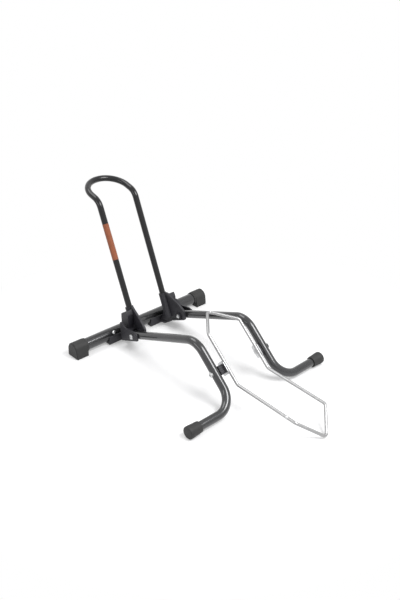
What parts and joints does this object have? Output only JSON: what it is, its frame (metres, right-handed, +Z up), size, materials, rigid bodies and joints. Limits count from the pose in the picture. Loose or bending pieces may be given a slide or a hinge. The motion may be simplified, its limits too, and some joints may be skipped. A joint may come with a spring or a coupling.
{
  "type": "bicycle floor rack",
  "caption": "Folding floor rack for one bicycle: crossbar with leaning hoop, two bent legs that fold up and a rocking wire wheel cradle.",
  "frame": {"origin": "on the floor under the middle of the whole stand's box, in the mirror plane", "axes": "+X along the rear crossbar to its right end, -Y to the front where the wheel rolls in, +Z up"},
  "size_m": [0.528, 0.9614, 0.4614],
  "materials": {
    "grey_paint": "gloss gunmetal paint",
    "black_paint": "gloss black paint",
    "black_plastic": "matte moulded",
    "cap_rubber": "fine grain",
    "zinc": "bright zinc plate",
    "bright_rod": "bright plated rod"
  },
  "bodies": {
    "frame": {"crossbar_tube": "grey_paint", "crossbar_cap_left": "cap_rubber", "crossbar_cap_right": "cap_rubber", "hoop_tube": "black_paint", "bracket_left": "black_plastic", "bracket_right": "black_plastic", "crossbar_bolt_left": "zinc", "crossbar_bolt_right": "zinc", "crossbar_nut_left": "zinc", "crossbar_nut_right": "zinc", "hoop_screw_left": "zinc", "hoop_screw_right": "zinc", "fold_bolt_left": "zinc", "fold_bolt_right": "zinc", "fold_washer_left": "zinc", "fold_washer_right": "zinc", "fold_nut_left": "zinc", "fold_nut_right": "zinc"},
    "leg_left": {"leg_tube_left": "grey_paint", "foot_cap_left": "cap_rubber", "fold_bush_left": "zinc", "cradle_bolt_left": "zinc", "cradle_washer_left": "zinc", "cradle_spacer_left": "black_plastic", "cradle_nut_left": "zinc"},
    "leg_right": {"leg_tube_right": "grey_paint", "foot_cap_right": "cap_rubber", "fold_bush_right": "zinc", "cradle_bolt_right": "zinc", "cradle_washer_right": "zinc", "cradle_spacer_right": "black_plastic", "cradle_nut_right": "zinc"},
    "cradle": {"cradle_rod": "bright_rod", "cradle_plate_left": "zinc", "cradle_plate_right": "zinc"}
  },
  "joints": [
    {"name": "leg_left_fold", "type": "hinge", "parent": "frame", "child": "leg_left", "pos_m": [-0.096, 0.18087, 0.0546], "axis": [-1, 0, 0], "range_deg": [0, 90]},
    {"name": "leg_right_fold", "type": "hinge", "parent": "frame", "child": "leg_right", "pos_m": [0.096, 0.18087, 0.0546], "axis": [-1, 0, 0], "range_deg": [0, 90]},
    {"name": "cradle_rock", "type": "hinge", "parent": "leg_left", "child": "cradle", "pos_m": [-0.0663, -0.16563, 0.08825], "axis": [-1, 0, 0], "range_deg": [0, 65]}
  ],
  "couplings": [
    {"joint": "leg_right_fold", "follows": "leg_left_fold", "ratio": 1}
  ]
}
